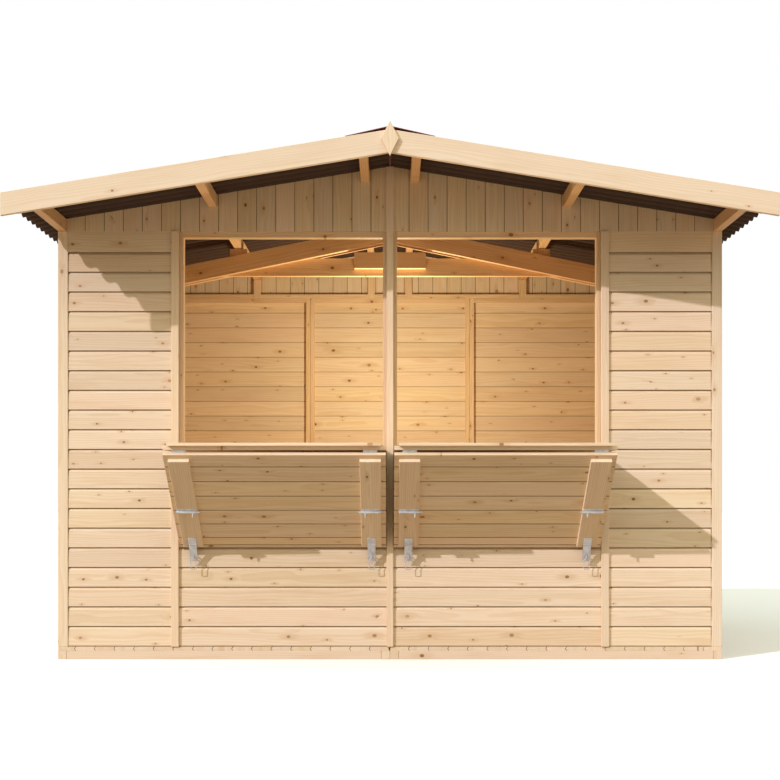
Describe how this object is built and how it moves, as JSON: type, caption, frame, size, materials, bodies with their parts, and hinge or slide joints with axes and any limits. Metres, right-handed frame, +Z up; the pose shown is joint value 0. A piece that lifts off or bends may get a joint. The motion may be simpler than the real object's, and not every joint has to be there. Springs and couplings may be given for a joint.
{
  "type": "wooden market stall",
  "caption": "Pine board market stall on a timber floor, open at twin serving hatches with fold-down counters, under a low gabled roof of dark corrugated sheets.",
  "frame": {"origin": "on the ground at the middle of the whole outline, roof overhangs included", "axes": "+X to the right of someone facing the hatches, along the front; +Y towards the back; +Z up"},
  "size_m": [3.247, 2.623, 2.2892],
  "materials": {
    "pine_cladding": "planed and untreated",
    "pine_framing": "planed and untreated",
    "pine_trim": "planed and untreated",
    "pine_hatch": "planed and untreated",
    "deck_boards": "planed and untreated",
    "floor_bearers": "planed and untreated",
    "bitumen_sheet": "matt corrugated bitumen fibre",
    "bitumen_ridge": "matt dark red bitumen",
    "zinc_hardware": "bright zinc plate"
  },
  "bodies": {
    "root": {"back_cladding": "pine_cladding", "back_frames": "pine_framing", "back_gable": "pine_cladding", "back_gable_frame": "pine_framing", "barge_boards_back": "pine_trim", "barge_boards_front": "pine_trim", "barrel_bolts": "zinc_hardware", "brace_battens": "pine_hatch", "brace_leaf_left": "pine_hatch", "brace_leaf_right": "pine_hatch", "corner_trims": "pine_trim", "counter_leaf_left": "pine_hatch", "counter_leaf_right": "pine_hatch", "counter_top_left": "pine_hatch", "counter_top_right": "pine_hatch", "eave_purlins": "pine_framing", "finials": "pine_trim", "floor_deck_left": "deck_boards", "floor_deck_right": "deck_boards", "floor_frame_left": "floor_bearers", "floor_frame_right": "floor_bearers", "fold_hinges": "zinc_hardware", "front_apron_left": "pine_cladding", "front_apron_right": "pine_cladding", "front_frame_left": "pine_framing", "front_frame_right": "pine_framing", "front_gable": "pine_cladding", "front_gable_frame": "pine_framing", "front_panel_left": "pine_cladding", "front_panel_right": "pine_cladding", "front_strips": "pine_trim", "gable_strips": "pine_trim", "hasps": "zinc_hardware", "middle_purlins": "pine_framing", "rear_and_side_strips": "pine_trim", "ridge_cap": "bitumen_ridge", "ridge_purlins": "pine_framing", "roof_sheet_left": "bitumen_sheet", "roof_sheet_right": "bitumen_sheet", "side_cladding_left": "pine_cladding", "side_cladding_right": "pine_cladding", "side_frames_left": "pine_framing", "side_frames_right": "pine_framing", "snap_hooks": "zinc_hardware", "staples": "zinc_hardware", "truss_packers": "pine_framing", "truss_plate": "pine_framing", "truss_rafters_back": "pine_framing", "truss_rafters_front": "pine_framing", "truss_tie": "pine_framing", "window_frame_left": "pine_framing", "window_frame_right": "pine_framing"}
  },
  "joints": []
}
